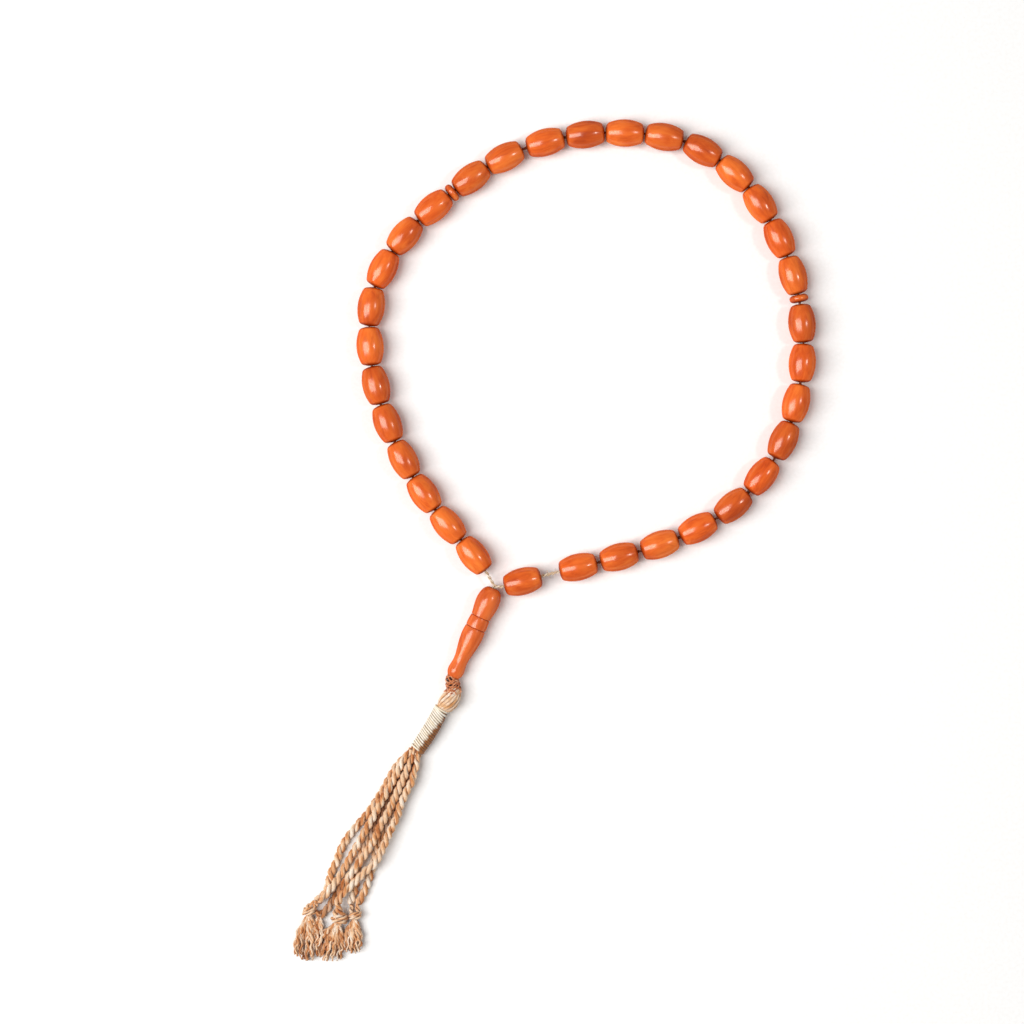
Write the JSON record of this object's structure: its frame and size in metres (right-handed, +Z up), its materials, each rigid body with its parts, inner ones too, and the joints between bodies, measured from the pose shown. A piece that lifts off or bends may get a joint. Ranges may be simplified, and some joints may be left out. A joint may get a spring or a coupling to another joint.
{
  "type": "prayer beads",
  "caption": "Loop of barrel beads in three groups on a string, with divider discs, a long turned leader bead and a tassel of knotted cords; it lies flat.",
  "frame": {"origin": "middle of the footprint of everything but the loose tassel strands, on the surface it lies on", "axes": "+Z up from the surface; +Y from the leader bead across the loop, away from the tassel; +X to the right"},
  "size_m": [0.1706, 0.2758, 0.009],
  "materials": {
    "bead": "polished, faintly streaked along the bore",
    "leader": "polished",
    "string": "two-ply twisted cotton",
    "whipping": "wound cotton thread",
    "neck": "interlaced thread",
    "tassel_cord": "plied soft cord"
  },
  "bodies": {
    "string": {"string_loop": "string", "string_join": "string"},
    "bead_01": {"bead_01": "bead"},
    "bead_02": {"bead_02": "bead"},
    "bead_03": {"bead_03": "bead"},
    "bead_04": {"bead_04": "bead"},
    "bead_05": {"bead_05": "bead"},
    "bead_06": {"bead_06": "bead"},
    "bead_07": {"bead_07": "bead"},
    "bead_08": {"bead_08": "bead"},
    "bead_09": {"bead_09": "bead"},
    "bead_10": {"bead_10": "bead"},
    "bead_11": {"bead_11": "bead"},
    "bead_12": {"bead_12": "bead"},
    "bead_13": {"bead_13": "bead"},
    "bead_14": {"bead_14": "bead"},
    "bead_15": {"bead_15": "bead"},
    "bead_16": {"bead_16": "bead"},
    "bead_17": {"bead_17": "bead"},
    "bead_18": {"bead_18": "bead"},
    "bead_19": {"bead_19": "bead"},
    "bead_20": {"bead_20": "bead"},
    "bead_21": {"bead_21": "bead"},
    "bead_22": {"bead_22": "bead"},
    "bead_23": {"bead_23": "bead"},
    "bead_24": {"bead_24": "bead"},
    "bead_25": {"bead_25": "bead"},
    "bead_26": {"bead_26": "bead"},
    "bead_27": {"bead_27": "bead"},
    "bead_28": {"bead_28": "bead"},
    "bead_29": {"bead_29": "bead"},
    "bead_30": {"bead_30": "bead"},
    "bead_31": {"bead_31": "bead"},
    "bead_32": {"bead_32": "bead"},
    "bead_33": {"bead_33": "bead"},
    "divider_disc_1": {"divider_disc_1": "bead"},
    "divider_disc_2": {"divider_disc_2": "bead"},
    "leader": {"leader_bead": "leader", "leader_string": "string"},
    "tassel": {"tassel_neck": "neck", "tassel_head": "tassel_cord", "tassel_whipping": "whipping", "strand_1": "tassel_cord", "strand_2": "tassel_cord", "strand_3": "tassel_cord", "strand_4": "tassel_cord", "strand_5": "tassel_cord", "strand_6": "tassel_cord", "strand_knot_1": "tassel_cord", "strand_knot_2": "tassel_cord", "strand_knot_3": "tassel_cord", "frayed_end_1": "tassel_cord", "frayed_end_2": "tassel_cord", "frayed_end_3": "tassel_cord"}
  },
  "joints": [
    {"name": "bead_01_travel", "type": "hinge", "parent": "string", "child": "bead_01", "pos_m": [-0.09374, -0.08387, 0.0045], "axis": [0, 0, 1], "range_deg": [-2.37, 0]},
    {"name": "bead_02_travel", "type": "hinge", "parent": "string", "child": "bead_02", "pos_m": [0.09417, 0.0891, 0.0045], "axis": [0, 0, 1], "range_deg": [0, 0.941]},
    {"name": "bead_03_travel", "type": "hinge", "parent": "string", "child": "bead_03", "pos_m": [0.04856, 0.05049, 0.0045], "axis": [0, 0, 1], "range_deg": [0, 1.4]},
    {"name": "bead_04_travel", "type": "hinge", "parent": "string", "child": "bead_04", "pos_m": [0.03069, 0.03948, 0.0045], "axis": [0, 0, 1], "range_deg": [0, 1.68]},
    {"name": "bead_05_travel", "type": "hinge", "parent": "string", "child": "bead_05", "pos_m": [0.03619, 0.0423, 0.0045], "axis": [0, 0, 1], "range_deg": [0, 1.59]},
    {"name": "bead_06_travel", "type": "hinge", "parent": "string", "child": "bead_06", "pos_m": [0.02427, 0.03869, 0.0045], "axis": [0, 0, 1], "range_deg": [0, 1.79]},
    {"name": "bead_07_travel", "type": "hinge", "parent": "string", "child": "bead_07", "pos_m": [0.00646, 0.03463, 0.0045], "axis": [0, 0, 1], "range_deg": [0, 2.21]},
    {"name": "bead_08_travel", "type": "hinge", "parent": "string", "child": "bead_08", "pos_m": [-0.02282, 0.03571, 0.0045], "axis": [0, 0, 1], "range_deg": [0, 3.55]},
    {"name": "bead_09_travel", "type": "hinge", "parent": "string", "child": "bead_09", "pos_m": [-0.02729, 0.03554, 0.0045], "axis": [0, 0, 1], "range_deg": [0, 3.9]},
    {"name": "bead_10_travel", "type": "hinge", "parent": "string", "child": "bead_10", "pos_m": [-0.01638, 0.02961, 0.0045], "axis": [0, 0, 1], "range_deg": [0, 3.04]},
    {"name": "bead_11_travel", "type": "hinge", "parent": "string", "child": "bead_11", "pos_m": [0.02825, -0.01857, 0.0045], "axis": [0, 0, 1], "range_deg": [0, 1.41]},
    {"name": "bead_12_travel", "type": "hinge", "parent": "string", "child": "bead_12", "pos_m": [0.06025, -0.05017, 0.0045], "axis": [0, 0, 1], "range_deg": [0, 1.03]},
    {"name": "bead_13_travel", "type": "hinge", "parent": "string", "child": "bead_13", "pos_m": [0.00011, 0.03711, 0.0045], "axis": [0, 0, 1], "range_deg": [0, 2.83]},
    {"name": "bead_14_travel", "type": "hinge", "parent": "string", "child": "bead_14", "pos_m": [0.01037, 0.00934, 0.0045], "axis": [0, 0, 1], "range_deg": [0, 1.9]},
    {"name": "bead_15_travel", "type": "hinge", "parent": "string", "child": "bead_15", "pos_m": [0.00886, 0.01869, 0.0045], "axis": [0, 0, 1], "range_deg": [0, 2.13]},
    {"name": "bead_16_travel", "type": "hinge", "parent": "string", "child": "bead_16", "pos_m": [0.0094, -0.00753, 0.0045], "axis": [0, 0, 1], "range_deg": [0, 1.61]},
    {"name": "bead_17_travel", "type": "hinge", "parent": "string", "child": "bead_17", "pos_m": [0.01436, 0.04005, 0.0045], "axis": [0, 0, 1], "range_deg": [0, 2.9]},
    {"name": "bead_18_travel", "type": "hinge", "parent": "string", "child": "bead_18", "pos_m": [0.01753, 0.05575, 0.0045], "axis": [0, 0, 1], "range_deg": [0, 3.96]},
    {"name": "bead_19_travel", "type": "hinge", "parent": "string", "child": "bead_19", "pos_m": [0.0134, 0.04847, 0.0045], "axis": [0, 0, 1], "range_deg": [0, 3.32]},
    {"name": "bead_20_travel", "type": "hinge", "parent": "string", "child": "bead_20", "pos_m": [0.00058, 0.03857, 0.0045], "axis": [0, 0, 1], "range_deg": [0, 2.53]},
    {"name": "bead_21_travel", "type": "hinge", "parent": "string", "child": "bead_21", "pos_m": [-0.01234, 0.03034, 0.0045], "axis": [0, 0, 1], "range_deg": [0, 2.07]},
    {"name": "bead_22_travel", "type": "hinge", "parent": "string", "child": "bead_22", "pos_m": [-0.01514, 0.02927, 0.0045], "axis": [0, 0, 1], "range_deg": [0, 2]},
    {"name": "bead_23_travel", "type": "hinge", "parent": "string", "child": "bead_23", "pos_m": [-0.0107, 0.02981, 0.0045], "axis": [0, 0, 1], "range_deg": [0, 2.1]},
    {"name": "bead_24_travel", "type": "hinge", "parent": "string", "child": "bead_24", "pos_m": [-0.01004, 0.02998, 0.0045], "axis": [0, 0, 1], "range_deg": [0, 2.12]},
    {"name": "bead_25_travel", "type": "hinge", "parent": "string", "child": "bead_25", "pos_m": [-0.01104, 0.03036, 0.0045], "axis": [0, 0, 1], "range_deg": [0, 2.09]},
    {"name": "bead_26_travel", "type": "hinge", "parent": "string", "child": "bead_26", "pos_m": [0.01124, 0.02293, 0.0045], "axis": [0, 0, 1], "range_deg": [0, 2.93]},
    {"name": "bead_27_travel", "type": "hinge", "parent": "string", "child": "bead_27", "pos_m": [0.00674, 0.0264, 0.0045], "axis": [0, 0, 1], "range_deg": [0, 2.67]},
    {"name": "bead_28_travel", "type": "hinge", "parent": "string", "child": "bead_28", "pos_m": [0.01317, 0.01993, 0.0045], "axis": [0, 0, 1], "range_deg": [0, 3.12]},
    {"name": "bead_29_travel", "type": "hinge", "parent": "string", "child": "bead_29", "pos_m": [-0.00491, 0.04999, 0.0045], "axis": [0, 0, 1], "range_deg": [0, 1.91]},
    {"name": "bead_30_travel", "type": "hinge", "parent": "string", "child": "bead_30", "pos_m": [-0.00712, 0.05397, 0.0045], "axis": [0, 0, 1], "range_deg": [0, 1.81]},
    {"name": "bead_31_travel", "type": "slide", "parent": "string", "child": "bead_31", "axis": [0.9638, 0.2665, 0], "range_m": [0, 0.003]},
    {"name": "bead_32_travel", "type": "slide", "parent": "string", "child": "bead_32", "axis": [0.9729, 0.2312, 0], "range_m": [0, 0.003]},
    {"name": "divider_disc_1_travel", "type": "slide", "parent": "string", "child": "divider_disc_1", "axis": [-0.7854, -0.619, 0], "range_m": [0, 0.003]},
    {"name": "divider_disc_2_travel", "type": "hinge", "parent": "string", "child": "divider_disc_2", "pos_m": [-0.01657, 0.02894, 0.0045], "axis": [0, 0, 1], "range_deg": [0, 1.96]},
    {"name": "bead_33_travel", "type": "slide", "parent": "string", "child": "bead_33", "axis": [-0.9668, -0.2555, 0], "range_m": [-0.0055, 0.0012]},
    {"name": "leader_swing", "type": "hinge", "parent": "string", "child": "leader", "pos_m": [-0.03, -0.049, 0.0043], "axis": [0, 0, 1], "range_deg": [-25, 6]},
    {"name": "tassel_swing", "type": "hinge", "parent": "leader", "child": "tassel", "pos_m": [-0.0439, -0.081, 0.0032], "axis": [0, 0, 1], "range_deg": [-30, 30]}
  ],
  "couplings": [
    {"joint": "bead_02_travel", "follows": "bead_01_travel", "ratio": -0.39713},
    {"joint": "bead_03_travel", "follows": "bead_01_travel", "ratio": -0.58978},
    {"joint": "bead_04_travel", "follows": "bead_01_travel", "ratio": -0.71103},
    {"joint": "bead_05_travel", "follows": "bead_01_travel", "ratio": -0.67047},
    {"joint": "bead_06_travel", "follows": "bead_01_travel", "ratio": -0.7575},
    {"joint": "bead_07_travel", "follows": "bead_01_travel", "ratio": -0.93532},
    {"joint": "bead_08_travel", "follows": "bead_01_travel", "ratio": -1.5005},
    {"joint": "bead_09_travel", "follows": "bead_01_travel", "ratio": -1.646},
    {"joint": "bead_10_travel", "follows": "bead_01_travel", "ratio": -1.2858},
    {"joint": "bead_11_travel", "follows": "bead_01_travel", "ratio": -0.59476},
    {"joint": "bead_12_travel", "follows": "bead_01_travel", "ratio": -0.43557},
    {"joint": "bead_13_travel", "follows": "bead_01_travel", "ratio": -1.1952},
    {"joint": "bead_14_travel", "follows": "bead_01_travel", "ratio": -0.80385},
    {"joint": "bead_15_travel", "follows": "bead_01_travel", "ratio": -0.89776},
    {"joint": "bead_16_travel", "follows": "bead_01_travel", "ratio": -0.67812},
    {"joint": "bead_17_travel", "follows": "bead_01_travel", "ratio": -1.2243},
    {"joint": "bead_18_travel", "follows": "bead_01_travel", "ratio": -1.6737},
    {"joint": "bead_19_travel", "follows": "bead_01_travel", "ratio": -1.4041},
    {"joint": "bead_20_travel", "follows": "bead_01_travel", "ratio": -1.0697},
    {"joint": "bead_21_travel", "follows": "bead_01_travel", "ratio": -0.873},
    {"joint": "bead_22_travel", "follows": "bead_01_travel", "ratio": -0.8425},
    {"joint": "bead_23_travel", "follows": "bead_01_travel", "ratio": -0.88855},
    {"joint": "bead_24_travel", "follows": "bead_01_travel", "ratio": -0.89577},
    {"joint": "bead_25_travel", "follows": "bead_01_travel", "ratio": -0.88424},
    {"joint": "bead_26_travel", "follows": "bead_01_travel", "ratio": -1.2379},
    {"joint": "bead_27_travel", "follows": "bead_01_travel", "ratio": -1.1293},
    {"joint": "bead_28_travel", "follows": "bead_01_travel", "ratio": -1.3156},
    {"joint": "bead_29_travel", "follows": "bead_01_travel", "ratio": -0.80482},
    {"joint": "bead_30_travel", "follows": "bead_01_travel", "ratio": -0.76637},
    {"joint": "bead_31_travel", "follows": "bead_01_travel", "m_per_rad": -0.072611},
    {"joint": "bead_32_travel", "follows": "bead_01_travel", "m_per_rad": -0.072616},
    {"joint": "divider_disc_1_travel", "follows": "bead_01_travel", "m_per_rad": -0.072617},
    {"joint": "divider_disc_2_travel", "follows": "bead_01_travel", "ratio": -0.82843}
  ]
}
